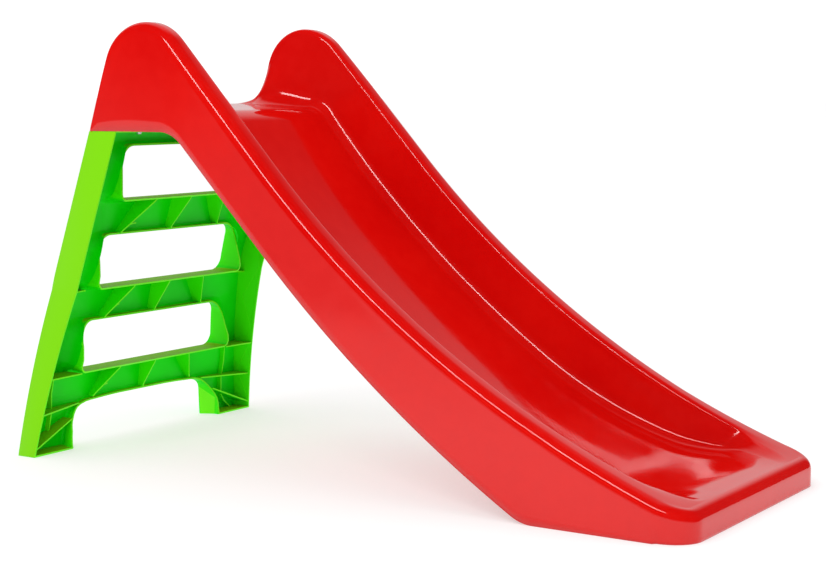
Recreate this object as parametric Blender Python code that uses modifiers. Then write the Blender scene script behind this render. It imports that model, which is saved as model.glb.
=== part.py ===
"""Toddler slide: a one-piece chute body plugged onto a ladder and held by four screws.

Metres, +Z up. The origin is on the floor, in the middle of the footprint. +X runs
down the chute to the toe, and the slide is symmetric about the XZ plane.
"""

import math

import bmesh
import bpy
from mathutils import Vector

GAP = 0.0003  # between pieces that touch
TRIM = 0.004  # how far a sheet runs past the edge it is trimmed to

# Chute body
WALL = 0.004
BODY_HALF = 0.250  # half width across the lower edges of the skirts
BODY_DRAFT = 0.079  # how much a skirt leans in, per metre above its lower edge
RIM_Z = 0.547  # lower edge of the body where it stands on the ladder

# Crest line of the side rails, from the rear lower corner to the toe
REAR_X = -0.4665
REAR_LEAN = math.atan(0.256)
HUMP_X, HUMP_Z = -0.364, 0.722
HUMP_REAR_R, HUMP_FRONT_R = 0.074, 0.088
RAIL_SLOPE = math.radians(47.17)
RAIL_LINE = 0.2586
RAIL_R = 1.714

# Seat and chute floor along the middle
SEAT_Z = 0.5915
SEAT_EDGE_R = 0.009
SEAT_SLOPE = math.radians(4.5)
CREST_X = -0.330
CREST_R = 0.052
CHUTE_SLOPE = math.radians(51.1)
CHUTE_R = 1.959
CHUTE_MID_SLOPE = math.radians(33.4)
BASIN_R = 0.796

# Lower edge of the skirts
SKIRT_FLAT_X = -0.3146
SKIRT_R = 0.060
SKIRT_SLOPE = math.radians(46.1)
SKIRT_LINE = 0.2253
SKIRT_BIG_R = 2.188
SKIRT_END_SLOPE = math.radians(31.1)
SKIRT_TOE_R = 0.070

# Cross section of the channel
REAR_EDGE_R, EDGE_R = 0.0055, 0.019  # outer rounding of the rails, at the rear and from the hump on
RAIL_INNER_Y = (0.191, 0.199)  # inner wall at the rail top, at the rear and from the crest on
FLOOR_WALL_Y = (0.167, 0.187)  # inner wall at the floor, likewise
FLOOR_R = (0.032, 0.024)
RAIL_INNER_R = 0.009
CHANNEL_DEPTH = 0.080
TOE_X = 0.605
TOE_CORNER_R = 0.046
TOE_RISE = (0.380, 0.565)            # where the floor rises to the level of the toe

# Ladder
FLANGE_X = -0.5672  # front edge of the side flanges at the floor
LEAN_LOW, LEAN_HIGH = math.radians(8.5), math.radians(19.5)
BEND_R = 1.70
DEPTH_LOW, DEPTH_HIGH, DEPTH_Z = 0.0375, 0.0575, 0.300
FOOT_HALF, POST_HALF, FLARE_Z = 0.289, 0.2497, 0.280
SKIN = 0.003
LIP = 0.0027  # flange edge in front of the treads
RIB = 0.0025
BEAM_TOP = RIM_Z - GAP
# Openings: (tread height, height under the next beam, half width at the tread, half width at the top)
OPENINGS = (
    (0.431, 0.5205, 0.185, 0.184),
    (0.280, 0.368, 0.189, 0.184),
    (0.135, 0.2195, 0.196, 0.190),
)
OPENING_TOP_R, OPENING_LOW_R = 0.035, 0.013
ARCH_TOP, ARCH_HALF, ARCH_R = 0.079, 0.192, 0.048
# Front edge of the treads, ribs and opening rims, floor to top: (z, x)
INNER_FRONT = (
    (0.000, -0.5680), (0.030, -0.5716), (0.050, -0.5784), (0.070, -0.5827), (0.086, -0.5780),
    (0.135, -0.5420), (0.150, -0.5405), (0.190, -0.5486), (0.227, -0.5530), (0.280, -0.5050),
    (0.310, -0.5050), (0.374, -0.5095), (0.431, -0.4505), (0.470, -0.4540), (0.523, -0.4550),
    (0.547, -0.4250),
)
RIB_TOP_Y, RIB_LOW_Y = 0.090, 0.130  # splayed ribs, at the tread and at the beam below
POST_WEB_Z = (0.132, 0.076)
COLLAR_H = 0.020
COLLAR_X = (-0.4540, -0.4270)
COLLAR_Y = (0.2085, 0.2420)

# Fixing screws, driven up through the top beam into bosses under the seat
SCREW_X = -0.4460
SCREW_Y = (-0.150, -0.055, 0.055, 0.150)
SCREW_R, SCREW_LENGTH = 0.0024, 0.030
HEAD_R, HEAD_H = 0.0052, 0.0032
BOSS_R, BORE_R, HOLE_R, ACCESS_R = 0.0065, 0.0028, 0.0030, 0.0065
BOSS_TOP, BORE_TOP = 0.5880, 0.5790

COLOURS = {
    "slide_red": ((0.72, 0.012, 0.010), 0.16, 0.0),
    "ladder_green": ((0.10, 0.62, 0.010), 0.34, 0.0),
    "screw_zinc": ((0.62, 0.63, 0.65), 0.32, 1.0),
}


def clear_scene():
    for thing in list(bpy.data.objects):
        bpy.data.objects.remove(thing, do_unlink=True)


def collection(name, helper=False):
    made = bpy.data.collections.new(name)
    bpy.context.scene.collection.children.link(made)
    made.hide_render = helper
    return made


def material(name):
    colour, roughness, metallic = COLOURS[name]
    made = bpy.data.materials.new(name)
    made.use_nodes = True
    shader = made.node_tree.nodes["Principled BSDF"]
    shader.inputs["Base Color"].default_value = (*colour, 1)
    shader.inputs["Roughness"].default_value = roughness
    shader.inputs["Metallic"].default_value = metallic
    made.diffuse_color = (*colour, 1)
    return made


def new_object(name, bm, where, turned=False):
    mesh = bpy.data.meshes.new(name)
    bmesh.ops.recalc_face_normals(bm, faces=bm.faces)
    if turned:
        bmesh.ops.reverse_faces(bm, faces=bm.faces)
    bm.to_mesh(mesh)
    bm.free()
    made = bpy.data.objects.new(name, mesh)
    where.objects.link(made)
    if where.hide_render:
        made.hide_render = True
        made.display_type = "WIRE"
    return made


def boolean(target, other, operation):
    made = target.modifiers.new(other.name, "BOOLEAN")
    made.operation = operation
    made.solver = "EXACT"
    made.object = other
    return made


def prism(name, outline, axis, low, high, where):
    """A closed outline extruded along Y (an XZ outline) or along X (a YZ outline)."""
    bm = bmesh.new()
    ends = []
    for side in (low, high):
        ends.append([
            bm.verts.new((side, a, b) if axis == "X" else (a, side, b)) for a, b in outline
        ])
    bm.faces.new(ends[0])
    bm.faces.new(list(reversed(ends[1])))
    count = len(outline)
    for i in range(count):
        j = (i + 1) % count
        bm.faces.new((ends[0][i], ends[1][i], ends[1][j], ends[0][j]))
    return new_object(name, bm, where)


def cylinder(name, radius, low, high, centre, where, sides=20):
    bm = bmesh.new()
    bmesh.ops.create_cone(
        bm, cap_ends=True, segments=sides, radius1=radius, radius2=radius, depth=high - low
    )
    bmesh.ops.translate(bm, verts=bm.verts, vec=(centre[0], centre[1], (low + high) / 2))
    return new_object(name, bm, where)


def smooth(thing, angle):
    for face in thing.data.polygons:
        face.use_smooth = True
    thing.data.set_sharp_from_angle(angle=math.radians(angle))


class SideLine:
    """A line in the XZ plane made of straight stretches and arcs. A slope is the angle below +X."""

    def __init__(self, x, z, slope):
        self.points = [(x, z)]
        self.lengths = [0.0]
        self.slopes = [slope]
        self.slope = slope

    def step(self, length):
        x, z = self.points[-1]
        self.points.append((x + length * math.cos(self.slope), z - length * math.sin(self.slope)))
        self.lengths.append(self.lengths[-1] + length)
        self.slopes.append(self.slope)

    def straight(self, length, steps=1):
        for _ in range(steps):
            self.step(length / steps)
        return self.lengths[-1]

    def turn(self, radius, slope, steps=8):
        """An arc to the new slope. A growing slope bends down, a shrinking one bends up."""
        part = (slope - self.slope) / steps
        chord = 2 * radius * math.sin(abs(part) / 2)
        for _ in range(steps):
            self.slope += part / 2
            self.step(chord)
            self.slope += part / 2
            self.slopes[-1] = self.slope
        return self.lengths[-1]

    def at(self, length):
        """(x, z, slope) at this length along the line."""
        length = min(max(length, 0.0), self.lengths[-1])
        i = 1
        while i < len(self.lengths) - 1 and self.lengths[i] < length:
            i += 1
        span = self.lengths[i] - self.lengths[i - 1]
        t = (length - self.lengths[i - 1]) / span if span else 0.0
        a, b = self.points[i - 1], self.points[i]
        slope = self.slopes[i - 1] + t * (self.slopes[i] - self.slopes[i - 1])
        return a[0] + t * (b[0] - a[0]), a[1] + t * (b[1] - a[1]), slope

    def where_x(self, x):
        """The length at which the line last passes this x."""
        for i in range(len(self.points) - 1, 0, -1):
            xa, xb = self.points[i - 1][0], self.points[i][0]
            if xa <= x <= xb:
                return self.lengths[i - 1] + (x - xa) / (xb - xa) * (self.lengths[i] - self.lengths[i - 1])
        return self.lengths[-1]


def rear_start():
    return REAR_X - TRIM * math.tan(REAR_LEAN), RIM_Z - TRIM, REAR_LEAN - math.pi / 2


def rail_line():
    """Crest of a side rail, and the lengths along it of its named places."""
    line = SideLine(*rear_start())
    tangent_z = HUMP_Z - HUMP_REAR_R * (1 - math.sin(REAR_LEAN))
    marks = {"rear_top": line.straight((tangent_z - RIM_Z + TRIM) / math.cos(REAR_LEAN), 6)}
    marks["apex"] = line.turn(HUMP_REAR_R, 0.0, 10)
    marks["hump_end"] = line.turn(HUMP_FRONT_R, RAIL_SLOPE, 8)
    marks["line_end"] = line.straight(RAIL_LINE, 4)
    left = TOE_X - EDGE_R - line.points[-1][0]
    marks["end"] = line.turn(RAIL_R, math.asin(math.sin(RAIL_SLOPE) - left / RAIL_R), 24)
    return line, marks


def floor_line():
    """Middle of the seat and chute floor."""
    line = SideLine(*rear_start())
    rise = (SEAT_Z - SEAT_EDGE_R - RIM_Z + TRIM) / math.cos(REAR_LEAN)
    marks = {"apron_top": line.straight(rise, 2)}
    marks["seat_start"] = line.turn(SEAT_EDGE_R, SEAT_SLOPE, 4)
    marks["crest"] = line.straight((CREST_X - line.points[-1][0]) / math.cos(SEAT_SLOPE), 4)
    marks["chute"] = line.turn(CREST_R, CHUTE_SLOPE, 8)
    marks["middle"] = line.turn(CHUTE_R, CHUTE_MID_SLOPE, 16)
    marks["end"] = line.turn(BASIN_R, 0.0, 20)
    return line, marks


def skirt_line():
    """Lower edge of a skirt."""
    line = SideLine(REAR_X - TRIM, RIM_Z, 0.0)
    marks = {"rear": line.straight(TRIM + REAR_EDGE_R)}
    marks["flat_end"] = line.straight(SKIRT_FLAT_X - line.points[-1][0], 3)
    marks["bend_end"] = line.turn(SKIRT_R, SKIRT_SLOPE, 5)
    marks["line_end"] = line.straight(SKIRT_LINE, 2)
    marks["slope_end"] = line.turn(SKIRT_BIG_R, SKIRT_END_SLOPE, 10)
    marks["floor"] = line.turn(SKIRT_TOE_R, 0.0, 4)
    marks["end"] = line.straight(TOE_X + 0.02 - line.points[-1][0])
    return line, marks


def stations():
    """Matching points on the rail, floor and skirt lines, from the rear lower edge to the toe."""
    rail, r = rail_line()
    floor, f = floor_line()
    skirt, s = skirt_line()
    anchors = (
        (0.0, 0.0, s["rear"], 0),
        (f["apron_top"], f["apron_top"], s["rear"] + 0.002, 2),
        (r["rear_top"], f["seat_start"] + 0.022, s["rear"] + 0.012, 4),
        (r["apex"], floor.where_x(HUMP_X), skirt.where_x(-0.372), 5),
        (r["hump_end"], f["crest"], s["flat_end"], 4),
        (rail.where_x(-0.232), f["chute"], s["bend_end"], 5),
        (r["line_end"], floor.where_x(-0.196), skirt.where_x(-0.190), 2),
        (rail.where_x(0.160), floor.where_x(0.114), skirt.where_x(0.090), 5),
        (rail.where_x(0.374), floor.where_x(0.350), s["slope_end"], 4),
        (rail.where_x(0.392), floor.where_x(0.372), s["floor"], 2),
        (rail.where_x(0.552), floor.where_x(0.545), skirt.where_x(0.552), 4),
    )
    rows = [anchors[0][:3]]
    for before, after in zip(anchors, anchors[1:]):
        for i in range(1, after[3] + 1):
            t = i / after[3]
            rows.append(tuple(before[k] + t * (after[k] - before[k]) for k in range(3)))
    turns = 5
    last = rows[-1]
    for i in range(1, turns + 1):
        share = math.sin(i / turns * math.pi / 2)
        ends = (r["end"], floor.where_x(TOE_X - EDGE_R), skirt.where_x(TOE_X - EDGE_R))
        rows.append(tuple(last[k] + share * (ends[k] - last[k]) for k in range(3)))
    places = []
    floor_end = floor.at(floor.where_x(TOE_X - EDGE_R))
    drop = rail.points[-1][1] - floor_end[1]
    for a, b, c in rows:
        x, z, slope = floor.at(b)
        late = min(1.0, max(0.0, (x - TOE_RISE[0]) / (TOE_RISE[1] - TOE_RISE[0])))
        late = late * late * (3 - 2 * late)
        hump = min(1.0, max(0.0, (a - 0.6 * r["rear_top"]) / (r["hump_end"] - 0.6 * r["rear_top"])))
        edge = REAR_EDGE_R + (EDGE_R - REAR_EDGE_R) * hump * hump * (3 - 2 * hump)
        front = min(1.0, max(0.0, (a - r["rear_top"]) / (r["hump_end"] - r["rear_top"])))
        front = front * front * (3 - 2 * front)
        places.append((rail.at(a), (x, z + drop * late, slope), skirt.at(c), edge, front))
    return places, turns


def channel_section(depth, half, front):
    """(y, height) pairs from the middle of the floor to the start of the outer rounding."""
    rail_y, wall_y, floor_r = (
        pair[0] + front * (pair[1] - pair[0]) for pair in (RAIL_INNER_Y, FLOOR_WALL_Y, FLOOR_R)
    )
    full = [(0.0, 0.0), (0.082, 0.0), (wall_y - floor_r, 0.0)]
    for i in range(1, 5):
        a = i / 4 * math.radians(82)
        full.append((wall_y - floor_r + floor_r * math.sin(a), floor_r * (1 - math.cos(a))))
    for i in range(3):
        a = i / 2 * math.pi / 2
        full.append((
            rail_y + RAIL_INNER_R * (1 - math.cos(a)),
            CHANNEL_DEPTH - RAIL_INNER_R * (1 - math.sin(a)),
        ))
    full.append((half, CHANNEL_DEPTH))
    spread = min(1.0, depth / CHANNEL_DEPTH * 1.8)
    spread = spread * spread * (3 - 2 * spread)
    made = []
    for i, (y, h) in enumerate(full):
        even = half * (0.36 * i / 2 if i < 3 else 0.36 + 0.64 * (i - 2) / (len(full) - 3))
        made.append((even + spread * (y - even), h / CHANNEL_DEPTH))
    return made


def body_sheet(where):
    """The outside of one half of the chute body, an open sheet lofted through unlike sections."""
    places, turns = stations()
    bm = bmesh.new()
    top = []
    frames = []
    for i, (rail, floor, skirt, edge, front) in enumerate(places):
        corner = max(0, i - (len(places) - 1 - turns)) / turns * math.pi / 2
        outer = BODY_HALF - BODY_DRAFT * math.dist(rail[:2], skirt[:2])
        half = outer - edge - (TOE_CORNER_R - edge) * (1 - math.cos(corner))
        depth = math.dist(rail[:2], floor[:2])
        row = [
            Vector((floor[0] + h * (rail[0] - floor[0]), -y, floor[1] + h * (rail[1] - floor[1])))
            for y, h in channel_section(depth, half, front)
        ]
        top.append([bm.verts.new(p) for p in row])
        outward = Vector((math.sin(corner), -math.cos(corner), 0))
        down = Vector((-math.sin(rail[2]), 0, -math.cos(rail[2])))
        upright = min(1.0, max(0.0, (rail[0] - 0.40) / 0.15))
        down = down.lerp(Vector((0, 0, -1)), upright).normalized()
        frames.append((row[-1], outward, down, edge, skirt, corner))
    for a, b in zip(top, top[1:]):
        for j in range(len(a) - 1):
            bm.faces.new((a[j], b[j], b[j + 1], a[j + 1]))
    toe = list(reversed(top[-1][:-1]))
    for v in toe:
        frames.append((v.co.copy(), Vector((1, 0, 0)), Vector((0, 0, -1)), EDGE_R, None, math.pi / 2))
    rings = [[row[-1] for row in top] + toe]
    for step in range(1, 5):
        a = step / 4 * math.pi / 2
        rings.append([
            bm.verts.new(p + edge * (math.sin(a) * out + (1 - math.cos(a)) * down))
            for p, out, down, edge, _, _ in frames
        ])
    lowest = []
    for k, (_, _, _, _, skirt, corner) in enumerate(frames):
        above = rings[-1][k].co
        if skirt is None or corner:
            lowest.append(bm.verts.new((above.x, above.y, -TRIM)))
        else:
            x, z, slope = skirt
            lowest.append(bm.verts.new(
                (x - TRIM * math.sin(slope), -BODY_HALF, z - TRIM * math.cos(slope))
            ))
    rings.append(lowest)
    for a, b in zip(rings, rings[1:]):
        for j in range(len(a) - 1):
            bm.faces.new((a[j], b[j], b[j + 1], a[j + 1]))
    bmesh.ops.remove_doubles(bm, verts=bm.verts, dist=0.00002)
    bmesh.ops.dissolve_degenerate(bm, edges=bm.edges, dist=0.00001)
    bmesh.ops.recalc_face_normals(bm, faces=bm.faces)
    seat = max(bm.faces, key=lambda face: face.calc_area() * abs(face.normal.z))
    return new_object("slide_body", bm, where, turned=seat.normal.z < 0)


def make_body(where, helpers):
    body = body_sheet(where)
    mirror = body.modifiers.new("mirror", "MIRROR")
    mirror.use_axis = (False, True, False)
    mirror.merge_threshold = 0.00005
    shell = body.modifiers.new("wall", "SOLIDIFY")
    shell.thickness = WALL
    shell.offset = -1
    shell.use_even_offset = True
    line, _ = skirt_line()
    start = (line.points[0][0] - 0.03, RIM_Z)
    edge = [(x, max(z, 0.0)) for x, z in line.points[1:-1]]
    outline = [start] + edge + [(TOE_X + 0.02, 0.0), (TOE_X + 0.02, -0.05), (start[0], -0.05)]
    boolean(body, prism("skirt_trim", outline, "Y", -0.4, 0.4, helpers), "DIFFERENCE")
    for i, y in enumerate(SCREW_Y):
        spot = (SCREW_X, y)
        name = f"boss_{i + 1}"
        boolean(body, cylinder(name, BOSS_R, RIM_Z, BOSS_TOP, spot, helpers), "UNION")
        bore = cylinder(name + "_bore", BORE_R, RIM_Z - 0.01, BORE_TOP, spot, helpers, 16)
        boolean(body, bore, "DIFFERENCE")
    smooth(body, 40)
    body.data.materials.append(material("slide_red"))
    return body


# Ladder outlines


def flange_x(z):
    """Front edge of a side flange: an arc that leans further and further, then straight."""
    bend_z = BEND_R * (math.sin(LEAN_HIGH) - math.sin(LEAN_LOW))
    reach = min(z, bend_z)
    lean = math.asin(math.sin(LEAN_LOW) + reach / BEND_R)
    x = FLANGE_X + BEND_R * (math.cos(LEAN_LOW) - math.cos(lean))
    return x + (z - reach) * math.tan(LEAN_HIGH)


def depth(z):
    return DEPTH_LOW + (DEPTH_HIGH - DEPTH_LOW) * min(1.0, z / DEPTH_Z)


def post_half(z):
    return POST_HALF + (FOOT_HALF - POST_HALF) * max(0.0, 1 - z / FLARE_Z)


def heights(low, high):
    inside = [0.05, 0.1, 0.15, 0.2, 0.25, 0.3, 0.36]
    return [low] + [z for z in inside if low < z < high] + [high]


def side_outline(inset, front_reach, low, high):
    """XZ outline of the ladder: rear face moved in by inset, front moved out by front_reach."""
    levels = heights(low, high)
    front = [(flange_x(z) + front_reach, z) for z in levels]
    rear = [(flange_x(z) - depth(z) + inset / math.cos(LEAN_HIGH), z) for z in reversed(levels)]
    return front + rear


def inner_front_outline():
    """XZ outline of everything in front of the treads, ribs and rims."""
    back = [(x, z) for z, x in INNER_FRONT]
    back[0] = (back[0][0], SKIN)
    back.append((-0.415, 0.56))
    return back + [(-0.35, 0.56), (-0.35, SKIN)]


def round_corner(points, centre, radius, start, end, steps=4):
    for i in range(steps + 1):
        a = math.radians(start + (end - start) * i / steps)
        points.append((centre[0] + radius * math.cos(a), centre[1] + radius * math.sin(a)))


def opening_outline(opening, grow=0.0):
    low, high, half_low, half_high = opening
    low, high = low - grow, high + grow
    half_low, half_high = half_low + grow, half_high + grow
    top_r, low_r = OPENING_TOP_R + grow, OPENING_LOW_R + grow
    right = []
    round_corner(right, (half_low - low_r, low + low_r), low_r, -90, 0, 3)
    round_corner(right, (half_high - top_r, high - top_r), top_r, 0, 90, 5)
    return right + [(-y, z) for y, z in reversed(right)]


def arch_outline(low, grow=0.0):
    right = [(ARCH_HALF + grow, low)]
    arch_r = ARCH_R + grow
    round_corner(right, (ARCH_HALF + grow - arch_r, ARCH_TOP + grow - arch_r), arch_r, 0, 90, 6)
    return right + [(-y, z) for y, z in reversed(right)]


def front_outline(inset, low, high):
    right = [(post_half(low) - inset, low), (POST_HALF - inset, FLARE_Z), (POST_HALF - inset, high)]
    return right + [(-y, z) for y, z in reversed(right)]


def rib_outline(y_top, y_low, z_top, z_low):
    w = RIB / 2
    return [(y_top - w, z_top), (y_top + w, z_top), (y_low + w, z_low), (y_low - w, z_low)]


def rib_outlines():
    """YZ outlines of the ribs inside the steps and the webs inside the posts."""
    made = []
    unders = [OPENINGS[1][1], OPENINGS[2][1], ARCH_TOP]
    treads = [o[0] for o in OPENINGS]
    over = 0.0015
    for tread, under in zip(treads, unders):
        made.append(rib_outline(0, 0, tread - over, under + over))
        for side in (-1, 1):
            made.append(rib_outline(side * RIB_TOP_Y, side * RIB_LOW_Y, tread - over, under + over))
    for side in (-1, 1):
        made.append(rib_outline(side * 0.190, side * 0.192, 0.132, 0.050))
        for z, inner in zip(POST_WEB_Z, (0.170, 0.150)):
            reach = post_half(z) - SKIN / 2
            made.append([
                (side * inner, z - RIB / 2), (side * reach, z - RIB / 2),
                (side * reach, z + RIB / 2), (side * inner, z + RIB / 2),
            ])
        low, high = (side * (post_half(0.018) - SKIN / 2), 0.018), (side * (ARCH_HALF + 0.001), 0.058)
        made.append([low, (low[0], low[1] + RIB), (high[0], high[1] + RIB), high])
    return made


def make_ladder(where, helpers):
    ladder = prism("ladder", front_outline(0, 0, BEAM_TOP), "X", -0.62, -0.40, where)
    boolean(ladder, prism("side", side_outline(0, 0, -0.001, 0.56), "Y", -0.3, 0.3, helpers), "INTERSECT")
    for i, opening in enumerate(OPENINGS):
        cut = prism(f"opening_{i + 1}", opening_outline(opening), "X", -0.63, -0.39, helpers)
        boolean(ladder, cut, "DIFFERENCE")
    boolean(ladder, prism("arch", arch_outline(-0.01), "X", -0.63, -0.39, helpers), "DIFFERENCE")
    for side in (-1, 1):
        name = "collar_left" if side > 0 else "collar_right"
        lo, hi = sorted((side * COLLAR_Y[0], side * COLLAR_Y[1]))
        low, top = BEAM_TOP - SKIN / 2, BEAM_TOP + COLLAR_H
        box = [(lo, low), (hi, low), (hi, top), (lo, top)]
        boolean(ladder, prism(name, box, "X", *COLLAR_X, helpers), "UNION")

    cavity = prism("cavity", front_outline(SKIN, SKIN, BEAM_TOP - SKIN), "X", -0.615, -0.395, helpers)
    inside = prism("inside", side_outline(SKIN, 0.02, 0.0, 0.56), "Y", -0.31, 0.31, helpers)
    boolean(cavity, inside, "INTERSECT")
    for i, opening in enumerate(OPENINGS):
        keep = prism(f"rim_{i + 1}", opening_outline(opening, SKIN), "X", -0.64, -0.38, helpers)
        boolean(cavity, keep, "DIFFERENCE")
    boolean(cavity, prism("arch_rim", arch_outline(-0.01, SKIN), "X", -0.64, -0.38, helpers), "DIFFERENCE")
    for i, outline in enumerate(rib_outlines()):
        boolean(cavity, prism(f"rib_{i + 1}", outline, "X", -0.65, -0.37, helpers), "DIFFERENCE")
    boolean(ladder, cavity, "DIFFERENCE")

    step = prism("step", front_outline(LIP, LIP, 0.575), "X", -0.625, -0.385, helpers)
    boolean(step, prism("step_side", inner_front_outline(), "Y", -0.32, 0.32, helpers), "INTERSECT")
    boolean(ladder, step, "DIFFERENCE")
    for side in (-1, 1):
        name = "collar_hole_left" if side > 0 else "collar_hole_right"
        lo, hi = sorted((side * (COLLAR_Y[0] + SKIN), side * (COLLAR_Y[1] - SKIN)))
        box = [(lo, BEAM_TOP - 0.01), (hi, BEAM_TOP - 0.01), (hi, BEAM_TOP + COLLAR_H - SKIN), (lo, BEAM_TOP + COLLAR_H - SKIN)]
        hole = prism(name, box, "X", COLLAR_X[0] + SKIN, COLLAR_X[1] - SKIN, helpers)
        boolean(ladder, hole, "DIFFERENCE")
    for i, y in enumerate(SCREW_Y):
        hole = cylinder(f"screw_hole_{i + 1}", HOLE_R, 0.535, 0.555, (SCREW_X, y), helpers, 16)
        boolean(ladder, hole, "DIFFERENCE")
        access = cylinder(f"access_{i + 1}", ACCESS_R, 0.515, 0.533, (SCREW_X, y), helpers, 16)
        boolean(ladder, access, "DIFFERENCE")
    smooth(ladder, 30)
    ladder.data.materials.append(material("ladder_green"))
    return ladder


def make_screw(index, y, where):
    """A pan head screw with a pointed end and a cross recess, turned round its axis."""
    under = BEAM_TOP - SKIN - GAP
    profile = [
        (HEAD_R * 0.55, -HEAD_H), (HEAD_R * 0.9, -HEAD_H * 0.72), (HEAD_R, -HEAD_H * 0.35), (HEAD_R, 0.0),
        (SCREW_R, 0.0), (SCREW_R, SCREW_LENGTH - 0.005),
    ]
    bm = bmesh.new()
    sides = 16
    rings = []
    for radius, z in profile:
        rings.append([
            bm.verts.new((
                SCREW_X + radius * math.cos(2 * math.pi * k / sides),
                y + radius * math.sin(2 * math.pi * k / sides),
                under + z,
            )) for k in range(sides)
        ])
    for a, b in zip(rings, rings[1:]):
        for k in range(sides):
            bm.faces.new((a[k], a[(k + 1) % sides], b[(k + 1) % sides], b[k]))
    bm.faces.new(list(reversed(rings[0])))
    tip = bm.verts.new((SCREW_X, y, under + SCREW_LENGTH))
    for k in range(sides):
        bm.faces.new((rings[-1][k], rings[-1][(k + 1) % sides], tip))
    screw = new_object(f"fixing_screw_{index}", bm, where)
    smooth(screw, 35)
    return screw


clear_scene()
parts = collection("toddler_slide")
cutters = collection("cutters", helper=True)
make_body(parts, cutters)
make_ladder(parts, cutters)
zinc = material("screw_zinc")
for number, across in enumerate(SCREW_Y, 1):
    make_screw(number, across, parts).data.materials.append(zinc)
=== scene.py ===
# Toddler slide: glossy red chute on a green plug-in ladder. Metres, Z up, X runs down the chute.
import math

import bmesh
import bpy
from mathutils import Matrix, Vector


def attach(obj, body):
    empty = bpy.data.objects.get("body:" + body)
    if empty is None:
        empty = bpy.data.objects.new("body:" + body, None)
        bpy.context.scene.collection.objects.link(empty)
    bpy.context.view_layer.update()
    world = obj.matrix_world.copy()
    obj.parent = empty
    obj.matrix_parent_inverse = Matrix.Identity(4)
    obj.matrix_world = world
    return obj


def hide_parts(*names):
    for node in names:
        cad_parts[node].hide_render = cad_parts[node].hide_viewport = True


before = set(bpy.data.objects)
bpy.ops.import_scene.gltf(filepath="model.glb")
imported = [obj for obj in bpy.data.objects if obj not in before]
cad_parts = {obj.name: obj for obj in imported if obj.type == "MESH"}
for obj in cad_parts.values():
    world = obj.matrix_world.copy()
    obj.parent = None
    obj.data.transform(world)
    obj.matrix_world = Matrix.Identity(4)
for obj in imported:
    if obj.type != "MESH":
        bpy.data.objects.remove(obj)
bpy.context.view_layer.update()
print("frame loaded")


class Wire:
    # a node output that can be used in sums, so that a mask reads as it is worked out
    def __init__(self, bench, socket):
        self.bench = bench
        self.socket = socket

    def sum(self, operation, first, second):
        return self.bench.add("ShaderNodeMath", {"operation": operation}, {0: first, 1: second})

    def __add__(self, other):
        return self.sum("ADD", self, other)

    def __radd__(self, other):
        return self.sum("ADD", other, self)

    def __sub__(self, other):
        return self.sum("SUBTRACT", self, other)

    def __rsub__(self, other):
        return self.sum("SUBTRACT", other, self)

    def __mul__(self, other):
        return self.sum("MULTIPLY", self, other)

    def __rmul__(self, other):
        return self.sum("MULTIPLY", other, self)


class Bench:
    # one place to add nodes to a shader or geometry tree
    def __init__(self, tree):
        self.tree = tree

    def add(self, kind, settings=None, sockets=None, out=0):
        node = self.tree.nodes.new(kind)
        for name, value in (settings or {}).items():
            setattr(node, name, value)
        for name, value in (sockets or {}).items():
            socket = node.inputs[name]
            if isinstance(value, Wire):
                self.tree.links.new(value.socket, socket)
            else:
                socket.default_value = value
        return Wire(self, node.outputs[out])

    def map(self, value, low, high, toLow, toHigh):
        return self.add("ShaderNodeMapRange", {"interpolation_type": "SMOOTHSTEP"},
                        {"Value": value, "From Min": low, "From Max": high,
                         "To Min": toLow, "To Max": toHigh})

    def noise(self, place, scale, detail, roughness):
        return self.add("ShaderNodeTexNoise", None,
                        {"Vector": place, "Scale": scale, "Detail": detail, "Roughness": roughness})

    def mix(self, share, first, second):
        return self.add("ShaderNodeMix", {"data_type": "RGBA"}, {0: share, 6: first, 7: second}, 2)


# materials

redPlastic = {
    "colour": (0.70, 0.0040, 0.0020),
    "deepColour": (0.63, 0.0015, 0.0010),
    "roughness": 0.075,
    "specular": 0.5,
    "peel": 0.03,        # strength of the mould's fine orange peel
    "scuffs": 0.05,      # extra roughness along the path of the slider
}
greenPlastic = {
    "colour": (0.004, 0.86, 0.001),
    "deepColour": (0.001, 0.72, 0.001),
    # painted light: the lime tone of the outer flange faces stands in for the light falling on that side
    "paintedFlangeLight": (0.20, 0.66, 0.001),
    # painted light: the brighter green of faces turned sideways stands in for the light from the side
    "paintedSideLight": (0.05, 0.90, 0.001),
    # painted light: the olive tone of the up-facing tops stands in for how the light falls on them
    "paintedTopLight": (0.19, 0.50, 0.001),
    # painted highlight: a brighter green along the thin front edges stands in for the light they catch
    "paintedEdgeHighlight": (0.16, 0.98, 0.010),
    "roughness": 0.36,
    "specular": 0.12,
    "grain": 0.08,
}
zincPlate = {
    "colour": (0.62, 0.63, 0.65),
    "dullColour": (0.46, 0.48, 0.52),
    "roughness": 0.30,
}


def newMaterial(name, roughness, metallic=0.0, specular=0.5):
    made = bpy.data.materials.new(name)
    made.use_nodes = True
    made.node_tree.nodes.clear()
    bench = Bench(made.node_tree)
    output = made.node_tree.nodes.new("ShaderNodeOutputMaterial")
    shader = made.node_tree.nodes.new("ShaderNodeBsdfPrincipled")
    shader.inputs["Roughness"].default_value = roughness
    shader.inputs["Metallic"].default_value = metallic
    shader.inputs["Specular IOR Level"].default_value = specular
    made.node_tree.links.new(shader.outputs[0], output.inputs[0])
    return made, bench, shader


def join(bench, wire, shader, name):
    bench.tree.links.new(wire.socket, shader.inputs[name])


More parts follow.
